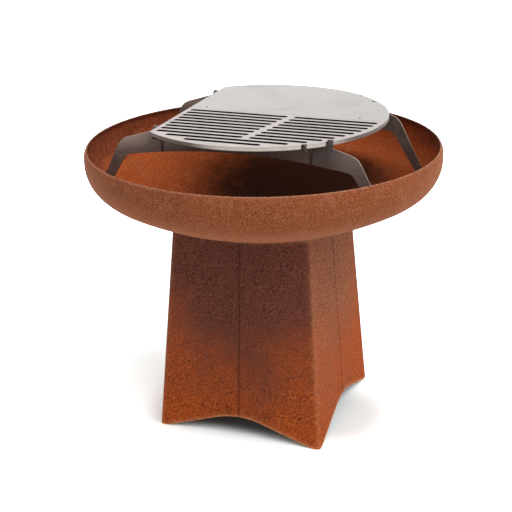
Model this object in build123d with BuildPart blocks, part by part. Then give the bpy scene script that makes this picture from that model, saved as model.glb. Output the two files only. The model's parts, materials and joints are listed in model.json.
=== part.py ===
from build123d import *
from math import atan2, cos, degrees, floor, hypot, radians, sin, sqrt, tan
import os

# All sizes are in millimetres and all angles in degrees
# The floor is at height zero, the bowl axis is the Z axis, and the grate is at the front, toward -Y

# Fire bowl, a dished head with its rim turned in a little
bowl_diameter = 800.0
bowl_wall = 4.0
rim_height = 646.0
rim_turn_radius = 24.0
rim_turn_angle = 41.0
bowl_band_height = 12.0
knuckle_radius = 82.0
crown_radius = 725.0
drain_hole_diameter = 14.0

# Pedestal, four corner panels that lean inwards and meet in the middle of each face
foot_side = 390.0
panel_lean = 4.15
panel_thickness = 3.0
corner_bend_radius = 8.0
flange_width = 25.0
flange_bend_radius = 3.4
foot_pad = 18.0
foot_arch_peak = 57.4
foot_arch_radius = 178.0

# Bolts, washers and nuts behind each seam
bolt_diameter = 8.0
bolt_hole_diameter = 9.0
bolt_inset = 14.0
bolt_heights = (100.0, 265.0, 430.0)
hex_across_flats = 13.0
bolt_head_height = 5.3
nut_height = 6.5
bolt_end_past_nut = 3.0
washer_diameter = 16.0
washer_thickness = 1.6

# Cooking plates, two halves of a round plate with one straight side
cooking_height = 712.0
cooking_diameter = 558.0
plate_thickness = 8.0
straight_side_distance = 175.5
lifting_hole_diameter = 6.0
lifting_hole_row = 16.5
lifting_hole_left = 141.0
lifting_hole_right = 218.0
notch_width = 10.0
notch_depth = 9.0

# Slots of the grate and the slanting bridge that breaks them
slot_width = 11.0
slot_pitch = 23.0
first_slot_row = 17.7
slot_margin = 12.5
slot_straight_margin = 10.0
shortest_slot = 120.0
bridge_offset = 75.0
bridge_angle = 11.1
bridge_width = 16.5
rows_without_bridge = 2

# Stand, two legged beams and two rails of one sheet, lapped half and half
stand_sheet = 4.0
beam_spacing = 344.0
rail_spacing = 336.0
lap_depth = 47.0
stand_arch_rise = 9.7
tab_width = 10.5
tab_rise = 1.0
right_tab_reach = 204.5
right_tab_root = 3.0
left_tab_root = 12.0
shoulder_start = 187.0
shoulder_start_drop = 1.2
knee_reach = 267.0
knee_drop = 26.0
knee_radius = 35.0
foot_wall_gap = 26.0
foot_width = 14.5
foot_corner_radius = 4.0
thigh_reach = 255.0
thigh_drop = 59.5
thigh_radius = 25.0
pin_hole_diameter = 5.0
pin_hole_reach = 179.0
pin_hole_drop = 19.5
rail_tip_depth = 6.0
rail_tip_radius = 3.0
rail_arm_depth = 22.0
rail_overhang = 2.5
small_corner_radius = 1.5

# Clearances
seat_fit = 0.3
foot_fit = 0.3
nut_fit = 0.1
washer_fit = 0.2
plate_split = 1.0
tab_fit = 1.0
lap_fit = 0.6

# Bowl section, as distance from the axis and height
bowl_radius = bowl_diameter / 2
turn_centre = (bowl_radius - rim_turn_radius, rim_height - rim_turn_radius * sin(radians(rim_turn_angle)))
knuckle_centre = (bowl_radius - knuckle_radius, turn_centre[1] - bowl_band_height)
crown_height = knuckle_centre[1] + sqrt((crown_radius - knuckle_radius) ** 2 - knuckle_centre[0] ** 2)
crown_end_angle = degrees(atan2(knuckle_centre[1] - crown_height, knuckle_centre[0]))


def bowl_floor(reach):
    """Height of the inside of the bowl at a distance from the axis."""
    inner_crown = crown_radius - bowl_wall
    if reach < inner_crown * cos(radians(crown_end_angle)):
        return crown_height - sqrt(inner_crown**2 - reach**2)
    inner_knuckle = knuckle_radius - bowl_wall
    return knuckle_centre[1] - sqrt(inner_knuckle**2 - (reach - knuckle_centre[0]) ** 2)


def bowl_face(inset):
    """One face of the bowl wall, from the bottom to the rim; returns its two ends."""
    crown = CenterArc((0, crown_height), crown_radius - inset, -90, 90 + crown_end_angle)
    knuckle = CenterArc(knuckle_centre, knuckle_radius - inset, crown_end_angle, -crown_end_angle)
    turn = CenterArc(turn_centre, rim_turn_radius - inset, 0, rim_turn_angle)
    Line(knuckle @ 1, turn @ 0)
    return crown @ 0, turn @ 1


with BuildPart() as fire_bowl:
    with BuildSketch(Plane.XZ):
        with BuildLine():
            outer_bottom, outer_rim = bowl_face(0)
            inner_bottom, inner_rim = bowl_face(bowl_wall)
            Line(outer_bottom, inner_bottom)
            Line(outer_rim, inner_rim)
        make_face()
    revolve(axis=Axis.Z)
    with BuildSketch(Plane.XY):
        Circle(drain_hole_diameter / 2)
    extrude(amount=rim_height, mode=Mode.SUBTRACT)


# Pedestal
def half_side(height):
    """Distance from the axis to the outside of a pedestal face at a height."""
    return foot_side / 2 - height * tan(radians(panel_lean))


def panel_face(half, inset):
    """One face of a bent panel in plan: a flange, two half sides of the pedestal and a flange."""
    return FilletPolyline(
        (inset, flange_width - half),
        (inset, inset - half),
        (half - inset, inset - half),
        (half - inset, -inset),
        (half - flange_width, -inset),
        radius=(flange_bend_radius - inset, corner_bend_radius - inset, flange_bend_radius - inset),
    )


def foot_arch():
    """The opening under one face: two straight slopes with a rounded top, run on below the floor."""
    run_on = 1 + panel_thickness / foot_arch_peak
    half_width = (foot_side / 2 - foot_pad) * run_on
    FilletPolyline(
        (-half_width, -panel_thickness), (0, foot_arch_peak), (half_width, -panel_thickness), radius=foot_arch_radius
    )
    Line((-half_width, -panel_thickness), (half_width, -panel_thickness))


with BuildPart() as corner_panel:
    for section_height in (0, rim_height):
        with BuildSketch(Plane.XY.offset(section_height)):
            with BuildLine():
                outside = panel_face(half_side(section_height), 0)
                inside = panel_face(half_side(section_height), panel_thickness)
                Line(outside @ 0, inside @ 0)
                Line(outside @ 1, inside @ 1)
            make_face()
    loft(ruled=True)
    with Locations((0, 0, crown_height)):
        Sphere(crown_radius + seat_fit, mode=Mode.SUBTRACT)
    for face_plane in (Plane.XZ, Plane.YZ):
        with BuildSketch(face_plane):
            with BuildLine():
                foot_arch()
            make_face()
        extrude(amount=foot_side, both=True, mode=Mode.SUBTRACT)
    for seam_plane, side in ((Plane.YZ, -1), (Plane.XZ, 1)):
        with BuildSketch(seam_plane):
            with Locations(*[(side * (half_side(height) - bolt_inset), height) for height in bolt_heights]):
                Circle(bolt_hole_diameter / 2)
        extrude(amount=2 * panel_thickness, both=True, mode=Mode.SUBTRACT)

# Fasteners of the front seam, with the heads on the right and the nuts on the left
bolt_places = [(bolt_inset - half_side(height), height) for height in bolt_heights]
washer_face = -panel_thickness
nut_face = washer_face - washer_thickness
bolt_end = nut_face - nut_height - bolt_end_past_nut

with BuildPart() as seam_bolts:
    with BuildSketch(Plane.YZ.offset(panel_thickness)):
        with Locations(*bolt_places):
            RegularPolygon(hex_across_flats / 2, 6, major_radius=False)
    extrude(amount=bolt_head_height)
    with BuildSketch(Plane.YZ.offset(bolt_end)):
        with Locations(*bolt_places):
            Circle(bolt_diameter / 2)
    extrude(amount=panel_thickness - bolt_end)

with BuildPart() as seam_washers:
    with BuildSketch(Plane.YZ.offset(nut_face)):
        with Locations(*bolt_places):
            Circle(washer_diameter / 2)
            Circle(bolt_diameter / 2 + washer_fit, mode=Mode.SUBTRACT)
    extrude(amount=washer_thickness)

with BuildPart() as seam_nuts:
    with BuildSketch(Plane.YZ.offset(nut_face - nut_height)):
        with Locations(*bolt_places):
            RegularPolygon(hex_across_flats / 2, 6, major_radius=False)
            Circle(bolt_diameter / 2 + nut_fit, mode=Mode.SUBTRACT)
    extrude(amount=nut_height)

# Cooking plates
plate_radius = cooking_diameter / 2
plate_underside = cooking_height - plate_thickness
rail_x = rail_spacing / 2
beam_y = beam_spacing / 2


def round_edge(across):
    """Distance from the middle of the plate to its round edge, on a line that passes the middle at a distance."""
    return sqrt(plate_radius**2 - across**2)


def half_plate(side):
    """The half of the plate on one side of the split, with notches for the tabs of the right rail and a beam."""
    width = plate_radius + straight_side_distance
    depth = plate_radius - plate_split / 2
    Circle(plate_radius)
    with Locations((width / 2 - straight_side_distance, side * (plate_split + depth) / 2)):
        Rectangle(width, depth, mode=Mode.INTERSECT)
    with Locations((rail_x, side * round_edge(rail_x))):
        Rectangle(notch_width, 2 * notch_depth, mode=Mode.SUBTRACT)
    beam_notch_wall = beam_y - stand_sheet / 2 - tab_fit
    with Locations((right_tab_reach + tab_width / 2, side * (beam_notch_wall + plate_radius) / 2)):
        Rectangle(tab_width + 2 * tab_fit, plate_radius - beam_notch_wall, mode=Mode.SUBTRACT)


with BuildPart() as griddle_plate:
    with BuildSketch(Plane.XY.offset(plate_underside)):
        half_plate(1)
        with Locations((-lifting_hole_left, lifting_hole_row), (lifting_hole_right, lifting_hole_row)):
            Circle(lifting_hole_diameter / 2, mode=Mode.SUBTRACT)
    extrude(amount=plate_thickness)

# Slot rows run from the split to the front, as far as a slot of the shortest length fits
slot_field_radius = plate_radius - slot_margin
last_slot_row = sqrt(slot_field_radius**2 - (shortest_slot / 2) ** 2) - slot_width / 2
slot_rows = floor((last_slot_row - first_slot_row) / slot_pitch) + 1


def slot_spans(row):
    """Start and end of each slot in a row, broken by the bridge except in the last rows."""
    across = first_slot_row + row * slot_pitch
    right = sqrt(slot_field_radius**2 - (across + slot_width / 2) ** 2)
    left = max(slot_straight_margin - straight_side_distance, -right)
    if row >= slot_rows - rows_without_bridge:
        return [(left, right)]
    bridge = bridge_offset - across * tan(radians(bridge_angle))
    return [(left, bridge - bridge_width / 2), (bridge + bridge_width / 2, right)]


with BuildPart() as slotted_grate:
    with BuildSketch(Plane.XY.offset(plate_underside)):
        half_plate(-1)
        for row in range(slot_rows):
            for start, end in slot_spans(row):
                with Locations(((start + end) / 2, -first_slot_row - row * slot_pitch)):
                    SlotOverall(end - start, slot_width, mode=Mode.SUBTRACT)
    extrude(amount=plate_thickness)

# Stand, hung down from the underside of the cooking plates
tab_top = cooking_height + tab_rise
spring_height = plate_underside - lap_depth
stand_arch_height = spring_height + stand_arch_rise
lap_height = plate_underside - lap_depth / 2
knee_height = plate_underside - knee_drop
pin_hole_height = plate_underside - pin_hole_drop
shoulder_height = plate_underside - shoulder_start_drop
shoulder_slope = (shoulder_height - knee_height) / (knee_reach - shoulder_start)
left_tab_reach = straight_side_distance + tab_fit
foot_line = beam_y + stand_sheet / 2
foot_outer_reach = sqrt((bowl_radius - bowl_wall - foot_wall_gap) ** 2 - foot_line**2)
foot_inner_reach = foot_outer_reach - foot_width
lap_width = stand_sheet + 2 * lap_fit


def leg_foot(reach):
    """Height of a foot corner that rests on the inside of the bowl."""
    return bowl_floor(hypot(reach, foot_line)) + foot_fit


def beam_end(side, tab, tab_root):
    """One end of a beam, from the middle of its top over the stop tab, shoulder and leg to the arch."""
    tab_back = tab + tab_width
    points = (
        (0, plate_underside),
        (tab, plate_underside),
        (tab, tab_top),
        (tab_back, tab_top),
        (tab_back, knee_height + shoulder_slope * (knee_reach - tab_back)),
        (knee_reach, knee_height),
        (foot_outer_reach, leg_foot(foot_outer_reach)),
        (foot_inner_reach, leg_foot(foot_inner_reach)),
        (thigh_reach, plate_underside - thigh_drop),
        (rail_x, spring_height),
    )
    corners = (0, small_corner_radius, small_corner_radius, tab_root, knee_radius)
    feet = (foot_corner_radius, foot_corner_radius, thigh_radius)
    FilletPolyline(*[(side * reach, height) for reach, height in points], radius=corners + feet)


pieces = {
    "fire_bowl": fire_bowl.part,
    "griddle_plate": griddle_plate.part,
    "slotted_grate": slotted_grate.part,
}
for beam_name, beam_side in (("stand_front_beam", -1), ("stand_back_beam", 1)):
    with BuildPart() as beam:
        with BuildSketch(Plane.XZ.offset(-beam_side * beam_y)):
            with BuildLine():
                beam_end(1, right_tab_reach, right_tab_root)
                beam_end(-1, left_tab_reach, left_tab_root)
                ThreePointArc((-rail_x, spring_height), (0, stand_arch_height), (rail_x, spring_height))
            make_face()
            # Laps for the rails, open downwards
            with Locations((-rail_x, lap_height), (rail_x, lap_height)):
                Rectangle(lap_width, lap_depth, align=(Align.CENTER, Align.MAX), mode=Mode.SUBTRACT)
            with Locations((-pin_hole_reach, pin_hole_height), (pin_hole_reach, pin_hole_height)):
                Circle(pin_hole_diameter / 2, mode=Mode.SUBTRACT)
        extrude(amount=stand_sheet / 2, both=True)
    pieces[beam_name] = beam.part

rail_reach = round_edge(rail_x) - tab_fit
rail_tab = round_edge(rail_x) - notch_depth + tab_fit
rail_foot = foot_line + rail_overhang
rail_tip_height = plate_underside - rail_tip_depth
rail_arm_height = plate_underside - rail_arm_depth


def plain_rail_end(side):
    """One end of the left rail, which ends in a plain tip under the plate."""
    points = (
        (0, plate_underside),
        (rail_reach, plate_underside),
        (rail_reach, rail_tip_height),
        (rail_foot, rail_arm_height),
        (rail_foot, spring_height),
    )
    radii = (small_corner_radius, rail_tip_radius, rail_tip_radius)
    FilletPolyline(*[(side * reach, height) for reach, height in points], radius=radii)


def tabbed_rail_end(side):
    """One end of the right rail, with a tab that stands in the notch of the plate."""
    points = (
        (0, plate_underside),
        (rail_tab, plate_underside),
        (rail_tab, tab_top),
        (rail_reach, tab_top),
        (rail_reach, rail_tip_height),
        (rail_foot, rail_arm_height),
        (rail_foot, spring_height),
    )
    radii = (0, small_corner_radius, small_corner_radius, rail_tip_radius, rail_tip_radius)
    FilletPolyline(*[(side * reach, height) for reach, height in points], radius=radii)


for rail_name, rail_place, rail_end in (
    ("stand_left_rail", -rail_x, plain_rail_end),
    ("stand_right_rail", rail_x, tabbed_rail_end),
):
    with BuildPart() as rail:
        with BuildSketch(Plane.YZ.offset(rail_place)):
            with BuildLine():
                rail_end(1)
                rail_end(-1)
                ThreePointArc((-rail_foot, spring_height), (0, stand_arch_height), (rail_foot, spring_height))
            make_face()
            # Laps for the beams, open upwards
            with Locations((-beam_y, lap_height), (beam_y, lap_height)):
                Rectangle(lap_width, lap_depth, align=(Align.CENTER, Align.MIN), mode=Mode.SUBTRACT)
        extrude(amount=stand_sheet / 2, both=True)
    pieces[rail_name] = rail.part

# The four corners and seams of the pedestal are copies of the front ones, turned round the axis
corner_names = ("front_right_panel", "back_right_panel", "back_left_panel", "front_left_panel")
seam_names = ("front_seam", "right_seam", "back_seam", "left_seam")
for quarter in range(4):
    turn = Rotation(0, 0, 90 * quarter)
    pieces[corner_names[quarter]] = turn * corner_panel.part
    pieces[seam_names[quarter] + "_bolts"] = turn * seam_bolts.part
    pieces[seam_names[quarter] + "_washers"] = turn * seam_washers.part
    pieces[seam_names[quarter] + "_nuts"] = turn * seam_nuts.part

os.makedirs("parts", exist_ok=True)
for name, piece in pieces.items():
    piece.label = name
    export_step(piece, f"parts/{name}.step")
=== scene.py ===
import json
from math import atan2, cos, pi, radians, sin, sqrt, tan

import bpy
import numpy as np
from bpy.props import FloatProperty, FloatVectorProperty, PointerProperty
from mathutils import Matrix, Vector

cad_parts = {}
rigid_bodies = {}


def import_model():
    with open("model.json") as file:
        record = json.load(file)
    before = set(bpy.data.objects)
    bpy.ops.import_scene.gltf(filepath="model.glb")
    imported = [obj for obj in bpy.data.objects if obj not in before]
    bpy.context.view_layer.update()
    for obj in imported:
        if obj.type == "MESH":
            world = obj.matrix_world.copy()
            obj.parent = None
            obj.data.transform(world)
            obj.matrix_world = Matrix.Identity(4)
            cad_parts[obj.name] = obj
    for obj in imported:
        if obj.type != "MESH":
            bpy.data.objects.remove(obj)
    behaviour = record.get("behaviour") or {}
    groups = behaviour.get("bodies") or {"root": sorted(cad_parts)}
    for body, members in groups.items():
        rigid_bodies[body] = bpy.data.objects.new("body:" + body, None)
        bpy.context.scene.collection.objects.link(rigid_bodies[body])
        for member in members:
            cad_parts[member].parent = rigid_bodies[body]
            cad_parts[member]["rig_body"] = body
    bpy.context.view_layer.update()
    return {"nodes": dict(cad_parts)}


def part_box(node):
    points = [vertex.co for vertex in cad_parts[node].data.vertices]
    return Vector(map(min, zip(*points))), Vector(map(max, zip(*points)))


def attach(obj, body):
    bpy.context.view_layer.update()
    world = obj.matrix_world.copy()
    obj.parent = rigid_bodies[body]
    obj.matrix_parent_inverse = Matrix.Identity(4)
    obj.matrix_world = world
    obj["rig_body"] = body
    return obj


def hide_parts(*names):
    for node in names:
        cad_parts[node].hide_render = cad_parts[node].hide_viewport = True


bl_info = {
    "name": "Rusted steel fire bowl grill",
    "version": (1, 0, 0),
    "blender": (4, 5, 0),
    "location": "View3D > Sidebar > Grill",
    "description": "Dresses the fire bowl grill in rust, scale and bare steel, and sets its stage",
    "category": "Object",
}

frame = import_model()

PANELS = ("front_right_panel", "back_right_panel", "back_left_panel", "front_left_panel")
BEAMS = ("stand_front_beam", "stand_back_beam")
RAILS = ("stand_left_rail", "stand_right_rail")
SEAMS = ("front_seam", "right_seam", "back_seam", "left_seam")
FASTENERS = ("bolts", "washers", "nuts")

# Numbers of points along the stretches of each surface
BOWL_TURN_STEPS = 300
CROWN_STEPS = 64
KNUCKLE_STEPS = 28
RIM_STEPS = 14
LIP_STEPS = 9
FLANGE_STEPS = 6
SEAM_BEND_STEPS = 9
FLAT_STEPS = 44
CORNER_BEND_STEPS = 17
PANEL_ROWS = 56

# Rounds of repeating that bring the ends of a panel's leaning lines to rest
EDGE_ROUNDS = 12

# Stretches of X and Y that make ellipses: of the soot and painted shadow of the plates in the bowl,
# and of the shade on the floor
SOOT_AND_SHADE_STRETCH = (0.93, 1.0, 0.0)
VEIL_STRETCH = (1.0, 0.8, 0.0)

# Edges that turn further than these stay sharp in the shading, and get a bevel
SHARP_ANGLE = radians(40)
BEVEL_ANGLE = radians(50)
BEVEL_STEPS = 2


# Properties that a user would change


def shown(red, green, blue):
    """A colour as it is seen on a screen, from 0 to 255, turned into the linear values that shaders use."""
    share = np.array((red, green, blue)) / 255
    linear = np.where(share <= 0.04045, share / 12.92, ((share + 0.055) / 1.055) ** 2.4)
    return tuple(linear.tolist())


def length(name, description, default):
    return FloatProperty(name=name, description=description, default=default, unit="LENGTH", precision=4)


def between(name, description, default):
    """A pair of lengths, where something starts to change and where the change is complete."""
    kind = {"size": 2, "unit": "LENGTH", "precision": 4}
    return FloatVectorProperty(name=name, description=description, default=default, **kind)


def angle(name, description, degrees):
    return FloatProperty(name=name, description=description, default=radians(degrees), subtype="ANGLE")


def amount(name, description, default):
    return FloatProperty(name=name, description=description, default=default, min=0)


def spot(name, description, default):
    kind = {"subtype": "TRANSLATION", "unit": "LENGTH", "precision": 4}
    return FloatVectorProperty(name=name, description=description, default=default, **kind)


def direction(name, description, default):
    return FloatVectorProperty(name=name, description=description, default=default, subtype="DIRECTION")


def colour(name, description, red, green, blue):
    kind = {"subtype": "COLOR", "min": 0, "max": 1}
    return FloatVectorProperty(name=name, description=description, default=shown(red, green, blue), **kind)


class GrillSizes(bpy.types.PropertyGroup):
    """Sizes of the pieces that are drawn again, and of the slots; they follow the CAD solids."""

    bowl_radius: length("Bowl radius", "Outside of the bowl at its band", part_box("fire_bowl")[1].x)
    rim_height: length("Rim height", "Top of the rim above the floor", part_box("fire_bowl")[1].z)
    bowl_wall: length("Bowl wall", "Thickness of the bowl", 0.004)
    rim_turn_radius: length("Rim turn radius", "Radius with which the rim turns inwards", 0.024)
    rim_turn_angle: angle("Rim turn angle", "How far the rim turns inwards", 41)
    rim_lip: length("Rim lip", "Rounding of the cut edge of the rim", 0.001)
    bowl_band: length("Bowl band", "Height of the upright band under the rim", 0.012)
    knuckle_radius: length("Knuckle radius", "Radius between the band and the crown", 0.082)
    crown_radius: length("Crown radius", "Radius of the dished bottom", 0.725)
    drain_radius: length("Drain radius", "Radius of the drain hole", 0.007)
    foot_side: length("Foot side", "Side of the square that the pedestal stands on", 0.39)
    panel_lean: angle("Panel lean", "How far the panels lean inwards", 4.15)
    panel_wall: length("Panel wall", "Thickness of the panels", 0.003)
    panel_rounding: length("Panel rounding", "Rounding of the cut edges of the panels", 0.0004)
    corner_bend: length("Corner bend", "Outside radius of the corner bend", 0.008)
    seam_bend: length("Seam bend", "Outside radius of the bends at the seams", 0.0034)
    flange_width: length("Flange width", "Width of the flanges behind the seams", 0.025)
    foot_pad: length("Foot pad", "Flat length at each end of the foot arch", 0.018)
    arch_peak: length("Arch peak", "Height where the slopes of the foot arch would meet", 0.0574)
    arch_radius: length("Arch radius", "Radius of the top of the foot arch", 0.178)
    seat_gap: length("Seat gap", "Gap between the bowl and the panels", 0.0003)
    slot_width: length("Slot width", "Width of the slots in the grate", 0.011)
    slot_pitch: length("Slot pitch", "Distance from one row of slots to the next", 0.023)
    first_slot_row: length("First slot row", "Distance of the first row of slots from the split", 0.0177)
    last_slot_row: length("Last slot row", "Distance of the last row of slots from the split", 0.2477)
    slot_field_radius: length("Slot field radius", "Radius of the round field that the slots fill", 0.2665)
    slot_field_left: length("Slot field left", "Where the slots begin at the straight side", -0.1655)
    bridge_offset: length("Bridge offset", "Where the middle of the bridge would meet the split", 0.075)
    bridge_angle: angle("Bridge angle", "Slant of the bridge", 11.1)
    bridge_width: length("Bridge width", "Gap between the slots at the bridge", 0.0165)
    bridge_end: length("Bridge end", "Distance from the split up to which rows have a bridge", 0.213)


class GrillWear(bpy.types.PropertyGroup):
    """Where fresh rust, soot, dirt and wear lie, and how deep the grain of each finish is."""

    rust_grain: length("Rust grain", "Depth of the grain of the rust", 0.0008)
    steel_grain: length("Steel grain", "Depth of the scratches in bare steel and zinc", 0.0002)
    scale_grain: length("Scale grain", "Depth of the grain of the mill scale", 0.0003)
    # The rim's worn edge also carries a painted highlight
    rim_wear_and_highlight: length("Rim wear", "Reach of the wear from the outer edge of the rim", 0.0018)
    lip_shade: length("Lip shade", "Reach of the dark lip from the inner edge of the rim", 0.008)
    band: between("Band", "Heights where the brown band inside the bowl begins and is full", (0.575, 0.635))
    band_wander: length("Band wander", "How far the brown band wanders up and down", 0.03)
    band_shift: between("Band shift", "How much lower it is at the left wall and elsewhere", (0.045, -0.01))
    left_wall: between("Left wall", "Places along X where the left wall is full and ends", (-0.39, -0.34))
    # The bowl's soot set here and below is partly soot and partly painted shadow of the cooking plates
    soot_and_shade: between("Soot", "Distances from its middle where the bowl's soot is full and ends", (0.12, 0.3))
    soot_and_shade_shift: spot("Soot shift", "Shift of the soot in the bowl to the axis", (-0.022, -0.186, 0.0))
    soot_and_shade_ragged: length("Soot ragged", "How far the edge of the soot wanders", 0.025)
    clean_wall: between("Clean wall", "Distances from the axis where soot thins and is gone", (0.315, 0.36))
    # The weather side is partly weathering and partly painted light on the lit side
    weather_and_light_from: direction("Weather from", "Direction that the weather comes from", (0.8, 0.55, 0.0))
    fresh: between("Fresh", "Heights where fresh rust on the panels begins to thin and ends", (0.03, 0.36))
    fresh_wander: length("Fresh wander", "How far the fresh rust wanders up and down", 0.08)
    corner: between("Corner", "Distances from a seam where a corner begins and is full", (0.06, 0.17))
    corner_climb: length("Corner climb", "How far fresh rust climbs at a corner and sinks at a seam", 0.03)
    seam_dirt: length("Seam dirt", "Reach of the dirt from a seam", 0.003)
    # The stain round a seam is painted shade
    seam_shade: between("Stain", "Distances from a seam where its stain is full and ends", (0.02, 0.14))
    panel_cut: length("Panel cut", "Reach of the wear from the cut edges of the panels", 0.0035)
    # The burnt line round each slot is partly painted shade
    slot_burn: length("Slot burn", "Width of the burnt line round each slot", 0.001)
    burn_blur: length("Burn blur", "Half the width of the soft edge of the burnt line", 0.0004)
    burnt_field: between("Burnt field", "How far past the slots burnt cuts fade and end", (0.0015, 0.004))
    burnt_side: between("Burnt side", "Places along X where burnt cuts begin and are full", (-0.17, -0.166))
    burnt_split: between("Burnt split", "Distances from the split where they do so too", (0.006, 0.009))
    # The edge line is painted shade of the plate's rounded top corner
    edge_line: between("Edge line", "Depths where a plate's edge line begins and is full", (0.0025, 0.0015))
    # The plates' darkening to the right is painted shade
    right_shade: between("Dull", "Places along X where the plates begin to be duller and are dullest", (0.0, 0.27))
    # The stand's soot is partly a painted shadow of the cooking plates
    stand_soot_and_shadow: between("Stand soot", "Distances from the axis where soot is full and ends", (0.17, 0.29))
    # The pale end of the stand is a painted highlight
    highlight_end: between("Pale end", "Places along X where the pale end is full and ends", (-0.24, -0.17))
    highlight_top: between("Pale top", "Heights where the stand's pale end begins and is full", (0.65, 0.69))
    heat: between("Heat", "Heights where the heat marks of the legs begin to thin and end", (0.58, 0.66))


class GrillColours(bpy.types.PropertyGroup):
    """Colours of the finishes, as they are seen in plain light."""

    bowl_brown: colour("Bowl brown", "Main rust colour of the bowl", 148, 79, 47)
    bowl_dark: colour("Bowl dark", "Older, darker rust on the bowl", 80, 40, 27)
    # Bowl pale also colours the painted sheen where the bowl's outside is seen aslant
    bowl_pale: colour("Bowl pale", "Dusty pale rust on the bowl", 190, 124, 90)
    inside_orange: colour("Inside orange", "Fresh rust inside the bowl", 194, 94, 44)
    inside_dark: colour("Inside dark", "Older rust inside the bowl", 112, 50, 28)
    inside_brown: colour("Inside brown", "Rust inside the bowl under the rim", 118, 62, 40)
    # Soot, and painted shade: plates' shadow in bowl and on stand, the rim's lip, the stand's side edges
    soot_and_shade: colour("Soot", "Burnt bottom of the bowl and middle of the stand", 50, 22, 10)
    # Worn cut edge of the rim, also painted as its highlight
    rim_edge_highlight: colour("Rim edge", "Worn cut edge of the rim", 206, 154, 124)
    # Violet-brown and salmon are partly patina, partly painted light: shaded and lit copies of the pedestal's
    # rust
    panel_violet: colour("Panel violet", "Violet-brown scale on the sheltered panels", 110, 60, 48)
    panel_violet_dark: colour("Panel violet dark", "Dark specks in the violet-brown scale", 32, 15, 13)
    panel_violet_pale: colour("Panel violet pale", "Dusty specks in the violet-brown scale", 146, 86, 70)
    panel_salmon: colour("Panel salmon", "Paler rust on the panels that face the weather", 143, 82, 55)
    panel_salmon_dark: colour("Panel salmon dark", "Dark specks in the paler rust", 66, 31, 21)
    panel_salmon_pale: colour("Panel salmon pale", "Dusty specks in the paler rust", 202, 132, 94)
    panel_orange: colour("Panel orange", "Fresh rust low on the panels", 172, 76, 30)
    panel_orange_dark: colour("Panel orange dark", "Dark specks in the fresh rust", 52, 21, 11)
    panel_orange_pale: colour("Panel orange pale", "Bright specks in the fresh rust", 204, 108, 46)
    # Seam dark also colours the painted shade round the seams
    seam_dark: colour("Seam dark", "Dirt in the seams", 52, 28, 21)
    # Worn cut edges, and a painted highlight along the corner bends
    panel_wear_and_highlight: colour("Panel edge", "Worn cut edges and bends of the panels", 222, 156, 108)
    # The griddle and grate shade colours paint smudges and also the painted shade to the right
    griddle_grey: colour("Griddle grey", "Rolled steel of the griddle", 211, 207, 203)
    griddle_shade: colour("Griddle shade", "Smudges on the griddle", 197, 194, 190)
    grate_grey: colour("Grate grey", "Rolled steel of the grate", 218, 209, 206)
    grate_shade: colour("Grate shade", "Smudges on the grate", 198, 189, 186)
    # Plate edge is the lit cut edge; the next colour is its painted shade, tinted by a painted reflection of
    # the bowl
    plate_edge: colour("Plate edge", "Cut edges of the cooking plates, seen straight on", 226, 216, 207)
    plate_edge_shade_and_reflection: colour("Plate edge shade", "Cut edges of the cooking plates, seen aslant", 106, 89, 82)
    # Burn and painted shade on the slot walls, and soot on the underside of the plates
    slot_soot_and_shade: colour("Slot black", "Burnt walls of the slots and underside of the plates", 12, 9, 8)
    stand_scale: colour("Stand scale", "Dark mill scale of the stand", 128, 114, 107)
    stand_shade: colour("Stand shade", "Darkest mill scale of the stand", 78, 68, 65)
    # Cut edges with a painted highlight where they face up; also the painted highlight at the left end
    stand_edge_highlight: colour("Stand edge", "Cut edges of the stand that face up", 178, 154, 136)
    fastener_zinc: colour("Fastener zinc", "Zinc of the seam bolts, washers and nuts", 170, 171, 172)
    fastener_dull: colour("Fastener dull", "Dull patches on the seam fasteners", 118, 114, 110)


class GrillStage(bpy.types.PropertyGroup):
    """Camera, light and floor."""

    camera_place: spot("Camera place", "Where the camera stands", (0.8914, -2.4444, 1.3729))
    camera_pan: angle("Camera pan", "Turn of the camera to the left", 20.49)
    camera_pitch: angle("Camera pitch", "Tilt of the camera downwards", 21.04)
    camera_roll: angle("Camera roll", "Roll of the camera", -0.997)
    lens: amount("Lens", "Focal length in millimetres", 84.44)
    sensor: amount("Sensor", "Width of the camera's sensor in millimetres", 36.0)
    floor_size: length("Floor size", "Side of the floor", 40.0)
    floor_white: colour("Floor white", "Colour of the floor", 243, 250, 250)
    floor_gain: amount("Floor gain", "How bright the camera sees the open floor", 2.5)
    floor_close: amount("Floor close", "How bright it sees the floor close to the pedestal", 1.75)
    floor_veil: amount("Floor veil", "How bright it sees the soft shade on the right", 1.25)
    floor_shade: amount("Floor shade", "How bright it sees the floor under the pedestal", 0.5)
    shade_end: length("Shade end", "Distance from the middle where the shade under the pedestal ends", 0.14)
    close_start: length("Close start", "Distance from the middle where the close floor begins", 0.19)
    open_start: length("Open start", "Distance from the middle where the open floor begins", 0.3)
    veil: between("Veil", "Distances from its middle where the soft shade is full and ends", (0.05, 0.2))
    veil_shift: spot("Veil shift", "Shift of the soft shade to the middle", (-0.2, 0.02, 0.0))
    sky_light: amount("Sky light", "Strength of the even light", 0.5)
    key_light: amount("Key light", "Strength of the light from above", 1.35)
    key_softness: angle("Key softness", "Apparent size of the light from above", 60)
    key_from: direction("Key from", "Direction that the light from above comes from", (0.6, -0.32, 1.0))
    side_light: amount("Side light", "Strength of the light from the side", 0.48)
    side_softness: angle("Side softness", "Apparent size of the light from the side", 40)
    side_from: direction("Side from", "Direction that the light from the side comes from", (1.0, -0.05, 0.55))


# Meshes from arrays of points


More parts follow.
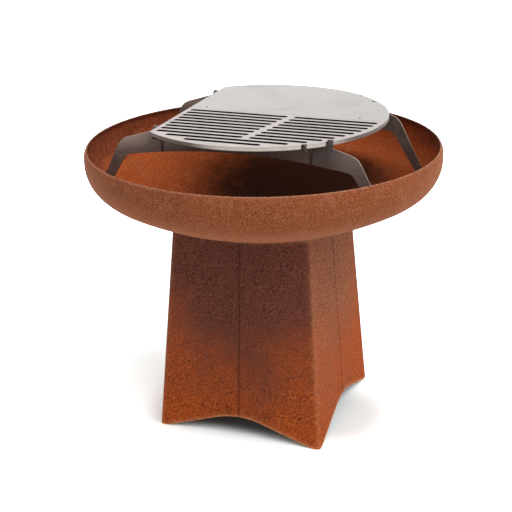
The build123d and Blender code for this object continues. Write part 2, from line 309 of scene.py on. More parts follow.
def grid_faces(rows, columns, close_rows=False, close_columns=False):
    """Four-sided faces of a grid of points, row by row; a closed direction joins its end to its start."""
    row = np.arange(rows if close_rows else rows - 1)[:, None]
    column = np.arange(columns if close_columns else columns - 1)[None, :]
    next_row = (row + 1) % rows
    next_column = (column + 1) % columns
    corners = (
        row * columns + column,
        next_row * columns + column,
        next_row * columns + next_column,
        row * columns + next_column,
    )
    return np.stack(np.broadcast_arrays(*corners), axis=-1).reshape(-1, 4)


def outwards(points, faces):
    """The faces, turned round where the volume that they close comes out negative.

    The volume is the sum of the triple products of three corners, over both halves of each face.
    """
    first, second, third, fourth = (points[faces[:, corner]] for corner in range(4))
    volume = np.sum(first * np.cross(second, third)) + np.sum(first * np.cross(third, fourth))
    return faces if volume > 0 else faces[:, ::-1]


def make_piece(name, points, faces, node, material, marks):
    """A smooth mesh object that stands for a CAD node, with values per point for its material."""
    mesh = bpy.data.meshes.new(name)
    mesh.from_pydata(points.tolist(), [], outwards(points, faces).tolist())
    mesh.polygons.foreach_set("use_smooth", np.ones(len(faces), bool))
    mesh.set_sharp_from_angle(angle=SHARP_ANGLE)
    for mark, values in marks.items():
        mesh.attributes.new(mark, "FLOAT", "POINT").data.foreach_set("value", values.astype(np.float32))
    mesh.materials.append(material)
    piece = bpy.data.objects.new(name, mesh)
    bpy.context.scene.collection.objects.link(piece)
    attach(piece, frame["nodes"][node]["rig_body"])
    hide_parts(node)
    return piece


def dress(node, material):
    """Gives a CAD node its material."""
    slots = frame["nodes"][node].data.materials
    slots.clear()
    slots.append(material)


def arc(centre, radius, start, end, count):
    """Points of a circle round a centre, from one angle to another."""
    turn = np.linspace(start, end, count)
    return np.stack((centre[0] + radius * np.cos(turn), centre[1] + radius * np.sin(turn)), axis=-1)


# Shapes


def bowl_centres(sizes):
    """Centres of the rim's turn, the knuckle and the crown, each as distance from the axis and height.

    The crown's centre lies on the axis, so far above the knuckle's that the two arcs touch.
    """
    turn_height = sizes.rim_height - sizes.rim_turn_radius * sin(sizes.rim_turn_angle)
    turn = (sizes.bowl_radius - sizes.rim_turn_radius, turn_height)
    knuckle = (sizes.bowl_radius - sizes.knuckle_radius, turn_height - sizes.bowl_band)
    rise = sqrt((sizes.crown_radius - sizes.knuckle_radius) ** 2 - knuckle[0] ** 2)
    return turn, knuckle, (0.0, knuckle[1] + rise)


def bowl_section(sizes, wear):
    """Section of the bowl as distance from the axis and height, one closed loop, and its marks.

    Each face is a crown arc from the drain hole to the knuckle, a knuckle arc up to the band and an arc
    that turns the rim inwards. The cut edge between the faces bulges by one minus the fourth power of the
    way across it. One mark tells the inside, and two fall off from the outer and inner edge of the rim: the
    outer one for wear with a painted highlight, the inner one for painted shade.
    """
    turn_centre, knuckle_centre, crown_centre = bowl_centres(sizes)
    crown_end = atan2(knuckle_centre[1] - crown_centre[1], knuckle_centre[0])
    rim_end = sizes.rim_turn_angle - sizes.rim_lip / sizes.rim_turn_radius
    faces = []
    for inset in (0.0, sizes.bowl_wall):
        crown_radius = sizes.crown_radius - inset
        crown_start = -atan2(sqrt(crown_radius**2 - sizes.drain_radius**2), sizes.drain_radius)
        crown = arc(crown_centre, crown_radius, crown_start, crown_end, CROWN_STEPS)
        knuckle = arc(knuckle_centre, sizes.knuckle_radius - inset, crown_end, 0.0, KNUCKLE_STEPS)
        turn = arc(turn_centre, sizes.rim_turn_radius - inset, 0.0, rim_end, RIM_STEPS)
        faces.append(np.concatenate((crown, knuckle[1:], turn)))
    outside, inside = faces
    across = np.linspace(0.0, 1.0, LIP_STEPS)[1:-1, None]
    along = np.array((-sin(rim_end), cos(rim_end)))
    bulge = sizes.rim_lip * (1 - (2 * across - 1) ** 4)
    lip = outside[-1] + across * (inside[-1] - outside[-1]) + bulge * along
    section = np.concatenate((outside, lip, inside[::-1]))
    is_inside = np.concatenate((np.zeros(len(outside)), np.full(len(lip), 0.5), np.ones(len(inside))))
    run = np.concatenate(((0.0,), np.cumsum(np.linalg.norm(np.diff(section, axis=0), axis=1))))
    outer_corner = run[len(outside)]
    inner_corner = run[len(outside) + len(lip)]
    # The outer mark carries wear and a painted highlight, the inner one painted shade
    worn = np.exp(-np.abs(run - outer_corner) / wear.rim_wear_and_highlight)
    shaded = np.exp(-np.clip(run - inner_corner, 0, None) / wear.lip_shade)
    return section, {"inside": is_inside, "rim": worn, "lip": np.where(run > outer_corner, shaded, 0.0)}


def turned(section, steps):
    """A section turned round the axis: distance times cosine and sine of the turn, and the height."""
    turn = np.linspace(0.0, 2 * pi, steps, endpoint=False)[:, None]
    reach = section[None, :, 0]
    height = np.broadcast_to(section[None, :, 1], (steps, len(section)))
    return np.stack((reach * np.cos(turn), reach * np.sin(turn), height), axis=-1).reshape(-1, 3)


def panel_plan(sizes, half, inset):
    """Plan of one face of the front right panel at one half side, as a column of x and one of y.

    The plan is flange, seam bend, half side, corner bend, half side, seam bend and flange. The flat runs
    are straight between the ends of the bends, and each bend is a quarter circle round a centre that moves
    with the half side.
    """
    seam = sizes.seam_bend
    middle_corner = half - sizes.corner_bend
    seam_in = seam - inset
    corner_in = sizes.corner_bend - inset
    flange = np.linspace(0.0, 1.0, FLANGE_STEPS)[:, None]
    quarter = np.linspace(0.0, pi / 2, SEAM_BEND_STEPS)[1:, None]
    flat = np.linspace(0.0, 1.0, FLAT_STEPS)[1:-1, None]
    wide_quarter = np.linspace(0.0, pi / 2, CORNER_BEND_STEPS)[:, None]
    x = (
        np.full_like(flange, inset),
        seam - seam_in * np.cos(quarter),
        seam + flat * (middle_corner - seam),
        middle_corner + corner_in * np.sin(wide_quarter),
    )
    y = (
        sizes.flange_width - half + flange * (seam - sizes.flange_width),
        seam - half - seam_in * np.sin(quarter),
        np.full_like(flat, inset - half),
        -middle_corner - corner_in * np.cos(wide_quarter),
    )
    x = np.concatenate(x)
    y = np.concatenate(y)
    mirrored = slice(-len(wide_quarter) - 1, None, -1)
    return np.concatenate((x, -y[mirrored])), np.concatenate((y, -x[mirrored]))


def foot_arch(sizes, reach):
    """Height of the foot arch at a distance from the middle of a face.

    Two slopes meet in a round top, and the height is at least zero.
    """
    half_width = sizes.foot_side / 2 - sizes.foot_pad
    slope = sizes.arch_peak / half_width
    lean = atan2(sizes.arch_peak, half_width)
    slopes = sizes.arch_peak - slope * np.abs(reach)
    crown = sizes.arch_peak - sizes.arch_radius / cos(lean)
    top = crown + np.sqrt(np.clip(sizes.arch_radius**2 - reach**2, 0, None))
    in_top = np.abs(reach) < sizes.arch_radius * sin(lean)
    return np.clip(np.where(in_top, top, slopes), 0, None)


def panel_face(sizes, inset):
    """One face of the front right panel as a grid of points, and columns of its lower and upper edge.

    A place along the plan runs up a leaning line. The plan is linear in the half side, so two plans give it
    at every height. A line starts where it leaves the foot arch and ends where it meets the sphere of the
    bowl's crown; both heights are found by repeating height = edge(plan(height)). The rows lie closer
    together near both edges, by half of one minus a cosine.
    """
    x_base, y_base = panel_plan(sizes, 0.0, inset)
    x_at_one, y_at_one = panel_plan(sizes, 1.0, inset)

    def plan(height):
        half = sizes.foot_side / 2 - height * tan(sizes.panel_lean)
        return x_base + half * (x_at_one - x_base), y_base + half * (y_at_one - y_base)

    crown_height = bowl_centres(sizes)[2][1]
    seat_radius = sizes.crown_radius + sizes.seat_gap
    lower = np.zeros_like(x_base)
    upper = np.full_like(lower, crown_height - seat_radius)
    for _ in range(EDGE_ROUNDS):
        x, y = plan(lower)
        lower = np.maximum(foot_arch(sizes, x), foot_arch(sizes, y))
        x, y = plan(upper)
        upper = crown_height - np.sqrt(seat_radius**2 - x**2 - y**2)
    share = (1 - np.cos(np.linspace(0.0, pi, PANEL_ROWS))) / 2
    height = lower + share * (upper - lower)
    x, y = plan(height)
    return np.stack((x, y, height), axis=-1), lower, upper


def bent_panel(sizes, wear):
    """Points, faces and marks of the front right panel.

    Its outer and its inner face are closed along their edges. The marks fall off with the distance from the
    cut edges, from the corner and from the seams.
    """
    outer, lower, upper = panel_face(sizes, 0.0)
    inner, _, _ = panel_face(sizes, sizes.panel_wall)
    places = len(outer)
    points = np.concatenate((outer.reshape(-1, 3), inner.reshape(-1, 3)))
    skin = grid_faces(places, PANEL_ROWS)
    starts = np.arange(places) * PANEL_ROWS
    ring = np.concatenate(
        (
            starts,
            starts[-1] + np.arange(1, PANEL_ROWS),
            starts[-2::-1] + PANEL_ROWS - 1,
            np.arange(PANEL_ROWS - 2, 0, -1),
        )
    )
    following = np.roll(ring, -1)
    inner_start = places * PANEL_ROWS
    edge = np.stack((following, ring, ring + inner_start, following + inner_start), axis=-1)
    faces = np.concatenate((skin, skin[:, ::-1] + inner_start, edge))
    x, y, height = np.moveaxis(outer, -1, 0)
    half = sizes.foot_side / 2 - height * tan(sizes.panel_lean)
    from_edge = np.minimum(height - lower, upper - height)
    from_corner = np.hypot(half - x, half + y)
    from_seam = np.minimum(np.abs(x), np.abs(y))
    marks = {
        "cut": np.exp(-from_edge / wear.panel_cut),
        # The bend mark carries a painted highlight along the corner
        "bend": np.exp(-((from_corner / sizes.corner_bend) ** 2)),
        "seam": np.exp(-from_seam / wear.seam_dirt),
    }
    return points, faces, {name: np.tile(values.ravel(), 2) for name, values in marks.items()}


# Shader groups that more than one finish uses


class Tree:
    """A node tree under construction: adds nodes, sets their values and links their sockets."""

    def __init__(self, tree):
        self.tree = tree

    def add(self, kind, **values):
        node = self.tree.nodes.new(kind)
        for name, value in values.items():
            setattr(node, name, value)
        return node

    def feed(self, socket, value):
        """Links a socket or sets its value; a plain colour gets the alpha that its socket wants."""
        if isinstance(value, bpy.types.NodeSocket):
            self.tree.links.new(value, socket)
        elif socket.type == "RGBA":
            socket.default_value = (*value, 1.0)
        else:
            socket.default_value = value

    def math(self, operation, first, second=0.0, clamp=False):
        node = self.add("ShaderNodeMath", operation=operation, use_clamp=clamp)
        self.feed(node.inputs[0], first)
        self.feed(node.inputs[1], second)
        return node.outputs[0]

    def product(self, first, *others):
        for other in others:
            first = self.math("MULTIPLY", first, other)
        return first

    def mix(self, share, first, second, blend="MIX"):
        node = self.add("ShaderNodeMix", data_type="RGBA", blend_type=blend)
        self.feed(node.inputs["Factor"], share)
        self.feed(node.inputs[6], first)
        self.feed(node.inputs[7], second)
        return node.outputs[2]

    def span(self, value, low, high, to_low=0.0, to_high=1.0):
        """A smooth step from one value to another while the given value runs from low to high."""
        node = self.add("ShaderNodeMapRange", interpolation_type="SMOOTHSTEP")
        for socket, number in zip(node.inputs, (value, low, high, to_low, to_high)):
            self.feed(socket, number)
        return node.outputs[0]

    def noise(self, vector, scale, detail=3.0, roughness=0.55, distortion=0.0):
        node = self.add("ShaderNodeTexNoise")
        self.feed(node.inputs["Vector"], vector)
        self.feed(node.inputs["Scale"], scale)
        self.feed(node.inputs["Detail"], detail)
        self.feed(node.inputs["Roughness"], roughness)
        self.feed(node.inputs["Distortion"], distortion)
        return node.outputs[0]

    def stretch(self, vector, scale, shift=(0.0, 0.0, 0.0)):
        node = self.add("ShaderNodeMapping")
        self.feed(node.inputs["Vector"], vector)
        self.feed(node.inputs["Location"], shift)
        self.feed(node.inputs["Scale"], scale)
        return node.outputs[0]

    def axes(self, vector):
        node = self.add("ShaderNodeSeparateXYZ")
        self.feed(node.inputs[0], vector)
        return node.outputs

    def reach(self, vector, scale=(1.0, 1.0, 0.0), shift=(0.0, 0.0, 0.0)):
        """Distance from the axis, or from another one after a stretch and a shift."""
        node = self.add("ShaderNodeVectorMath", operation="LENGTH")
        self.feed(node.inputs[0], self.stretch(vector, scale, shift))
        return node.outputs["Value"]

    def dot(self, first, second):
        node = self.add("ShaderNodeVectorMath", operation="DOT_PRODUCT")
        self.feed(node.inputs[0], first)
        self.feed(node.inputs[1], second)
        return node.outputs["Value"]

    def slant(self):
        """Zero where a surface is seen straight on and one where it is seen from the side."""
        node = self.add("ShaderNodeLayerWeight")
        node.inputs["Blend"].default_value = 0.5
        return node.outputs["Facing"]

    def group(self, tree, **values):
        node = self.add("ShaderNodeGroup", node_tree=tree)
        for name, value in values.items():
            self.feed(node.inputs[name.capitalize()], value)
        return node.outputs

    def mark(self, name):
        return self.add("ShaderNodeAttribute", attribute_name=name).outputs["Fac"]


def new_group(name, inputs, outputs):
    """An empty shader group with named sockets; returns it, its tools, its inputs and its output node.

    The default of an input tells its kind: one number is a value, three are a vector and four a colour.
    """
    kinds = {1: "NodeSocketFloat", 3: "NodeSocketVector", 4: "NodeSocketColor"}
    tree = bpy.data.node_groups.new(name, "ShaderNodeTree")
    for label, default in inputs.items():
        kind = kinds[np.size(default)]
        tree.interface.new_socket(name=label, in_out="INPUT", socket_type=kind).default_value = default
    for label in outputs:
        kind = "NodeSocketColor" if label == "Color" else "NodeSocketFloat"
        tree.interface.new_socket(name=label, in_out="OUTPUT", socket_type=kind)
    tools = Tree(tree)
    start = tools.add("NodeGroupInput")
    end = tools.add("NodeGroupOutput")
    return tree, tools, start.outputs, end.inputs


def rust_group():
    """Rust patina: soft dark patches, dusty blotches and run marks under a sandy grain.

    The grain is made of dark and pale specks that lie in clumps.
    """
    inputs = {
        "Vector": (0.0, 0.0, 0.0),
        "Main": (0.2, 0.1, 0.05, 1.0),
        "Dark": (0.1, 0.05, 0.03, 1.0),
        "Pale": (0.4, 0.2, 0.1, 1.0),
        "Patches": 5.0,
        "Mottle": 0.3,
        "Grain": 300.0,
        "Specks": 0.8,
        "Runs": 0.1,
    }
    outputs = ("Color", "Roughness", "Height", "Sand")
    tree, tools, given, put = new_group("Rust patina", inputs, outputs)
    vector = given["Vector"]
    patches = tools.noise(vector, given["Patches"], 3.0, 0.6)
    blotches = tools.noise(vector, tools.product(given["Patches"], 4.3), 6.0, 0.7)
    clumps = tools.noise(vector, tools.product(given["Grain"], 0.22), 3.0, 0.7)
    sand = tools.noise(vector, given["Grain"], 2.0, 0.7)
    runs = tools.noise(tools.stretch(vector, (170.0, 170.0, 4.0)), 1.0, 3.0, 0.55)
    specks = tools.product(tools.span(clumps, 0.3, 0.65, 0.45, 1.0), given["Specks"])
    layers = (
        (tools.span(patches, 0.5, 0.75, 0.0, 0.8), given["Mottle"], "Dark"),
        (tools.span(blotches, 0.5, 0.75, 0.0, 0.8), given["Mottle"], "Pale"),
        (tools.span(runs, 0.5, 0.76), given["Runs"], "Dark"),
        (tools.span(sand, 0.34, 0.5, 1.0, 0.0), specks, "Dark"),
        (tools.span(sand, 0.52, 0.68), specks, "Pale"),
    )
    tone = given["Main"]
    for mask, strength, shade in layers:
        tone = tools.mix(tools.product(mask, strength), tone, given[shade])
    worn = tools.product(sand, 0.2)
    tools.feed(put["Color"], tone)
    tools.feed(put["Roughness"], tools.math("ADD", worn, tools.span(patches, 0.3, 0.7, 0.78, 0.68)))
    tools.feed(put["Height"], tools.math("ADD", sand, tools.product(clumps, 0.6)))
    tools.feed(put["Sand"], sand)
    return tree


def rolled_group():
    """Rolled steel: smudges, streaks along the rolling direction, fine scratches and a few dark flecks."""
    inputs = {
        "Vector": (0.0, 0.0, 0.0),
        "Main": (0.6, 0.6, 0.6, 1.0),
        "Shade": (0.4, 0.4, 0.4, 1.0),
        "Smudges": 6.0,
        "Streaks": 0.4,
        "Flecks": 0.3,
        "Gloss": 0.4,
    }
    tree, tools, given, put = new_group("Rolled steel", inputs, ("Color", "Roughness", "Height"))
    vector = given["Vector"]
    smudges = tools.noise(vector, given["Smudges"], 4.0, 0.6, 0.6)
    streaks = tools.noise(tools.stretch(vector, (4.0, 190.0, 190.0)), 1.0, 3.0, 0.6)
    along_roll = tools.stretch(vector, (30.0, 1400.0, 1400.0), (0.3, 0.7, 0.1))
    scratches = tools.noise(along_roll, 1.0, 2.0, 0.5)
    flecks = tools.noise(vector, 330.0, 2.0, 0.6)
    fleck_dark = tools.mix(1.0, given["Shade"], given["Shade"], "MULTIPLY")
    tone = tools.mix(tools.span(smudges, 0.42, 0.74), given["Main"], given["Shade"])
    tone = tools.mix(tools.product(tools.span(streaks, 0.48, 0.7), given["Streaks"]), tone, given["Shade"])
    tone = tools.mix(tools.product(tools.span(flecks, 0.62, 0.74), given["Flecks"]), tone, fleck_dark)
    spread = tools.product(tools.span(smudges, 0.35, 0.7), 0.14)
    dullness = tools.math("ADD", spread, tools.product(scratches, 0.12))
    tools.feed(put["Color"], tone)
    tools.feed(put["Roughness"], tools.math("ADD", given["Gloss"], dullness))
    tools.feed(put["Height"], tools.math("ADD", tools.product(scratches, 0.5), tools.product(flecks, 0.5)))
    return tree


def cut_group():
    """Cut edge of sheet or plate: one where the surface runs along the sheet's axis, and its burn lines."""
    inputs = {
        "Vector": (0.0, 0.0, 0.0),
        "Normal": (0.0, 0.0, 0.0),
        "Axis": (0.0, 0.0, 1.0),
        "Burn": 0.4,
    }
    tree, tools, given, put = new_group("Cut edge", inputs, ("Mask", "Burn"))
    facing = tools.math("ABSOLUTE", tools.dot(given["Normal"], given["Axis"]))
    lines = tools.noise(given["Vector"], 160.0, 3.0, 0.6)
    tools.feed(put["Mask"], tools.span(facing, 0.35, 0.75, 1.0, 0.0))
    tools.feed(put["Burn"], tools.product(tools.span(lines, 0.4, 0.7), given["Burn"]))
    return tree


def new_material(name):
    """A material with a Principled shader; returns it, its tools, the shader and the object coordinates."""
    material = bpy.data.materials.new(name)
    material.use_nodes = True
    tools = Tree(material.node_tree)
    shader = material.node_tree.nodes["Principled BSDF"]
    place = tools.add("ShaderNodeTexCoord")
    return material, tools, shader, place.outputs


def relief(tools, shader, height, strength, distance):
    """Feeds a height into the shader's normal through a Bump node."""
    bump = tools.add("ShaderNodeBump")
    bump.inputs["Strength"].default_value = strength
    bump.inputs["Distance"].default_value = distance
    tools.feed(bump.inputs["Height"], height)
    tools.feed(shader.inputs["Normal"], bump.outputs["Normal"])


def group(name, maker):
    """A shader group by name, made the first time that it is asked for."""
    return bpy.data.node_groups.get(name) or maker()


# Finishes


def bowl_finish(colours, wear):
    """Rust of the bowl: brown outside, and orange inside with a brown band under the rim and soot.

    A painted sheen makes the outside paler where it is seen aslant. The lip of the rim has painted shade,
    and its outer edge is worn and carries a painted highlight. The soot is partly a painted shadow of the
    cooking plates. The brown band reaches further down at the left wall, and the soot and painted shadow
    leave the upper wall clean.
    """
    material, tools, shader, place = new_material("bowl_rust")
    rust = group("Rust patina", rust_group)
    vector = place["Object"]
    axes = tools.axes(vector)
    outside = tools.group(
        rust,
        vector=vector,
        main=colours.bowl_brown,
        dark=colours.bowl_dark,
        pale=colours.bowl_pale,
        patches=6.0,
        mottle=0.6,
        grain=400.0,
        specks=0.85,
        runs=0.1,
    )
    drop = tools.span(axes["X"], *wear.left_wall, *wear.band_shift)
    wander = tools.noise(vector, 12.0, 5.0, 0.65)
    wander = tools.span(wander, 0.25, 0.75, -wear.band_wander, wear.band_wander)
    band_height = tools.math("ADD", axes["Z"], tools.math("ADD", wander, drop))
    band = tools.span(band_height, *wear.band, 0.0, 0.85)
    inside = tools.group(
        rust,
        vector=vector,
        main=tools.mix(band, colours.inside_orange, colours.inside_brown),
        dark=colours.inside_dark,
        pale=colours.bowl_pale,
        patches=7.0,
        mottle=0.5,
        grain=240.0,
        specks=0.7,
        runs=0.0,
    )
    # Painted sheen: the outside turns paler where it is seen aslant
    grazing_sheen = tools.span(tools.slant(), 0.3, 0.9, 0.0, 0.27)
    sheened = tools.mix(grazing_sheen, outside["Color"], colours.bowl_pale)
    tone = tools.mix(tools.mark("inside"), sheened, inside["Color"])
    # The dark middle of the bowl is soot and a painted shadow of the cooking plates, set towards the back
    ragged = tools.noise(vector, 30.0, 6.0, 0.75)
    ragged = tools.span(ragged, 0.25, 0.75, -wear.soot_and_shade_ragged, wear.soot_and_shade_ragged)
    from_soot_and_shade = tools.math("ADD", tools.reach(vector, SOOT_AND_SHADE_STRETCH, wear.soot_and_shade_shift), ragged)
    burnt_and_shaded = tools.span(from_soot_and_shade, *wear.soot_and_shade, 0.98, 0.0)
    low_wall = tools.span(tools.reach(vector), *wear.clean_wall, 1.0, 0.0)
    tone = tools.mix(tools.product(burnt_and_shaded, low_wall, tools.mark("inside")), tone, colours.soot_and_shade)
    # Painted shade on the lip inside the rim
    tone = tools.mix(tools.product(tools.mark("lip"), 0.7), tone, colours.soot_and_shade)
    # The pale dotted line on the rim's outer edge is wear and a painted highlight
    dots = tools.span(tools.noise(vector, 150.0, 3.0, 0.7), 0.35, 0.6, 0.1, 0.9)
    tone = tools.mix(tools.product(tools.mark("rim"), dots), tone, colours.rim_edge_highlight)
    tools.feed(shader.inputs["Base Color"], tone)
    tools.feed(shader.inputs["Roughness"], outside["Roughness"])
    shader.inputs["Specular IOR Level"].default_value = 0.1
    relief(tools, shader, outside["Height"], 0.7, wear.rust_grain)
    return material


def panel_finish(colours, wear):
    """Rust of the pedestal: violet-brown on sheltered sides, paler on weather sides, orange at the foot.

    The weather sides are the ones whose outward direction lies along a fixed one; the split is partly patina
    and partly painted light, the weather sides standing for lit ones and the sheltered for shaded ones. The
    orange thins out upwards grain by grain, and climbs higher at the corners. Seams are dirty with a broad
    painted shade round them, cut edges are worn and bends carry a painted highlight.
    """
    material, tools, shader, place = new_material("pedestal_rust")
    rust = group("Rust patina", rust_group)
    vector = place["Object"]
    axes = tools.axes(vector)
    # Sides facing the fixed direction are paler: partly weathered patina, partly painted light; others are
    # the shaded copy
    weather_and_light = tools.span(tools.dot(place["Normal"], wear.weather_and_light_from), -0.1, 0.6)
    old = tools.group(
        rust,
        vector=vector,
        main=tools.mix(weather_and_light, colours.panel_violet, colours.panel_salmon),
        dark=tools.mix(weather_and_light, colours.panel_violet_dark, colours.panel_salmon_dark),
        pale=tools.mix(weather_and_light, colours.panel_violet_pale, colours.panel_salmon_pale),
        patches=5.0,
        mottle=0.25,
        grain=300.0,
        specks=1.0,
        runs=0.25,
    )
    fresh = tools.group(
        rust,
        vector=vector,
        main=colours.panel_orange,
        dark=colours.panel_orange_dark,
        pale=colours.panel_orange_pale,
        patches=9.0,
        mottle=0.2,
        grain=260.0,
        specks=0.95,
        runs=0.08,
    )
    from_seam = tools.math("MINIMUM", *(tools.math("ABSOLUTE", axes[name]) for name in "XY"))
    height = axes["Z"]
    offsets = (
        (tools.noise(vector, 7.0, 4.0, 0.6), 0.2, 0.8, -wear.fresh_wander, wear.fresh_wander),
        (old["Sand"], 0.25, 0.75, -wear.fresh_wander, wear.fresh_wander),
        (from_seam, *wear.corner, wear.corner_climb, -wear.corner_climb),
    )
    for offset in offsets:
        height = tools.math("ADD", height, tools.span(*offset))
    freshness = tools.span(height, *wear.fresh, 1.0, 0.0)
    tone = tools.mix(freshness, old["Color"], fresh["Color"])
    # Painted shade: a broad darkening round each seam, weaker on the lit sides
    seam_shade = tools.span(from_seam, *wear.seam_shade, 0.2, 0.0)
    dirt_and_shade = tools.math("MAXIMUM", tools.mark("seam"), seam_shade)
    dirt_and_shade = tools.product(dirt_and_shade, tools.span(weather_and_light, 0.0, 1.0, 0.7, 0.2))
    tone = tools.mix(dirt_and_shade, tone, colours.seam_dark)
    chips = tools.span(tools.noise(vector, 120.0, 4.0, 0.7), 0.3, 0.7)
    # Cut edges are worn; along the corner bend the pale colour is a painted highlight
    for mark, least, most in (("bend", 0.1, 0.2), ("cut", 0.4, 0.95)):
        worn = tools.product(tools.mark(mark), tools.span(chips, 0.0, 1.0, least, most))
        tone = tools.mix(worn, tone, colours.panel_wear_and_highlight)
    tools.feed(shader.inputs["Base Color"], tone)
    tools.feed(shader.inputs["Roughness"], fresh["Roughness"])
    shader.inputs["Specular IOR Level"].default_value = 0.1
    relief(tools, shader, fresh["Height"], 0.7, wear.rust_grain)
    return material


def slot_burn_mask(tools, axes, sizes, wear):
    """A mask that is one up to a burn's width from a slot, round the ends of the slots too.

    The nearest row of slots has its own ends: the field's circle, the straight side and the bridge. A
    point's distance from the slot's middle line, and its distance past the start of the round end, give its
    distance from the slot.
    """
    across = tools.product(axes["Y"], -1.0)
    past_first = tools.math("SUBTRACT", across, sizes.first_slot_row)
    row = tools.math("ROUND", tools.math("DIVIDE", past_first, sizes.slot_pitch))
    middle = tools.math("ADD", tools.product(row, sizes.slot_pitch), sizes.first_slot_row)
    middle = tools.math("MAXIMUM", middle, sizes.first_slot_row)
    middle = tools.math("MINIMUM", middle, sizes.last_slot_row)
    outer_side = tools.math("ADD", middle, sizes.slot_width / 2)
    chord = tools.math("SUBTRACT", sizes.slot_field_radius**2, tools.math("POWER", outer_side, 2.0))
    right = tools.math("SQRT", chord)
    left = tools.math("MAXIMUM", tools.product(right, -1.0), sizes.slot_field_left)
    from_right = tools.math("SUBTRACT", right, axes["X"])
    from_left = tools.math("SUBTRACT", axes["X"], left)
    lean = tools.product(middle, tan(sizes.bridge_angle))
    from_bridge = tools.math("ADD", tools.math("SUBTRACT", axes["X"], sizes.bridge_offset), lean)
    from_bridge = tools.math("SUBTRACT", tools.math("ABSOLUTE", from_bridge), sizes.bridge_width / 2)
    from_bridge = tools.math("ADD", from_bridge, tools.math("GREATER_THAN", middle, sizes.bridge_end))
    from_end = tools.math("MINIMUM", tools.math("MINIMUM", from_right, from_left), from_bridge)
    past_end = tools.math("MAXIMUM", tools.math("SUBTRACT", sizes.slot_width / 2, from_end), 0.0)
    aside = tools.math("SUBTRACT", across, middle)
    squares = tools.math("ADD", tools.product(past_end, past_end), tools.product(aside, aside))
    burn_edge = sizes.slot_width / 2 + wear.slot_burn
    distance = tools.math("SQRT", squares)
    return tools.span(distance, burn_edge - wear.burn_blur, burn_edge + wear.burn_blur, 1.0, 0.0)


def plate_finish(name, main, shade, smudges, scene, slotted):
    """Bare rolled steel of a cooking plate: painted shade to the right, burnt slots, a sooty underside.

    The cut edge has a grey line along its top, painted shade of its rounded corner. It takes painted shade
    where it is seen aslant, tinted by a painted reflection of the bowl, and where it faces left. A cut counts
    as burnt where it lies within the round field that the slots fill; its dark is burn and painted shade of
    the slot walls. On the slotted plate a burnt line runs round each slot, which also widens the painted
    shade seen through the slots.
    """
    sizes = scene.grill_sizes
    wear = scene.grill_wear
    colours = scene.grill_colours
    material, tools, shader, place = new_material(name)
    vector = place["Object"]
    axes = tools.axes(vector)
    outward = tools.axes(place["Normal"])
    steel = tools.group(
        group("Rolled steel", rolled_group),
        vector=vector,
        main=main,
        shade=shade,
        smudges=smudges,
        streaks=0.3,
        flecks=0.15,
        gloss=0.36,
    )
    cut = tools.group(
        group("Cut edge", cut_group),
        vector=vector,
        normal=place["Normal"],
        axis=(0.0, 0.0, 1.0),
        burn=0.5,
    )
    # Painted shade on cut edges that face left and where they are seen aslant
    left_shade = tools.span(outward["X"], -0.25, 0.1, 0.5, 0.0)
    dark = tools.math("ADD", tools.span(tools.slant(), 0.08, 0.36), left_shade, clamp=True)
    cooking_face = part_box("griddle_plate")[1].z
    line_heights = (cooking_face - depth for depth in wear.edge_line)
    # Painted shade: a grey line along the top of the cut edge stands for its rounded corner
    top_corner_shade = tools.span(axes["Z"], *line_heights, 0.0, 0.3)
    shade_and_burn_line = tools.math("MAXIMUM", top_corner_shade, tools.product(cut["Burn"], 0.4))
    dark = tools.math("MAXIMUM", dark, shade_and_burn_line)
    edge = tools.mix(dark, colours.plate_edge, colours.plate_edge_shade_and_reflection)
    field_ends = (sizes.slot_field_radius + margin for margin in wear.burnt_field)
    in_field = tools.span(tools.reach(vector), *field_ends, 1.0, 0.0)
    off_side = tools.span(axes["X"], *wear.burnt_side)
    off_split = tools.span(tools.math("ABSOLUTE", axes["Y"]), *wear.burnt_split)
    # Burnt cuts: burn, and painted shade on the slot walls, which no light reaches
    burnt_and_shaded = tools.product(in_field, off_side, off_split)
    edge = tools.mix(burnt_and_shaded, edge, colours.slot_soot_and_shade)
    # Painted shade: the plates darken towards the right
    tone = tools.mix(tools.span(axes["X"], *wear.right_shade, 0.0, 0.5), steel["Color"], shade)
    tone = tools.mix(cut["Mask"], tone, edge)
    sooty_and_shaded = tools.product(burnt_and_shaded, cut["Mask"])
    if slotted:
        # The burnt line round each slot is burn and painted shade that widens the dark seen through the slots
        burn_line = slot_burn_mask(tools, axes, sizes, wear)
        tone = tools.mix(burn_line, tone, colours.slot_soot_and_shade)
        sooty_and_shaded = tools.math("MAXIMUM", sooty_and_shaded, burn_line)
    underside = tools.span(outward["Z"], -0.8, -0.4, 0.8, 0.0)
    tools.feed(shader.inputs["Base Color"], tools.mix(underside, tone, colours.slot_soot_and_shade))
    bare = tools.span(tools.math("MAXIMUM", underside, cut["Mask"]), 0.0, 1.0, 0.7, 0.0)
    tools.feed(shader.inputs["Metallic"], tools.math("MAXIMUM", bare, sooty_and_shaded))
    matt = tools.math("MAXIMUM", underside, sooty_and_shaded)
    tools.feed(shader.inputs["Roughness"], tools.math("MAXIMUM", steel["Roughness"], matt))
    shader.inputs["Specular IOR Level"].default_value = 0.3
    relief(tools, shader, steel["Height"], 0.15, wear.steel_grain)
    return material


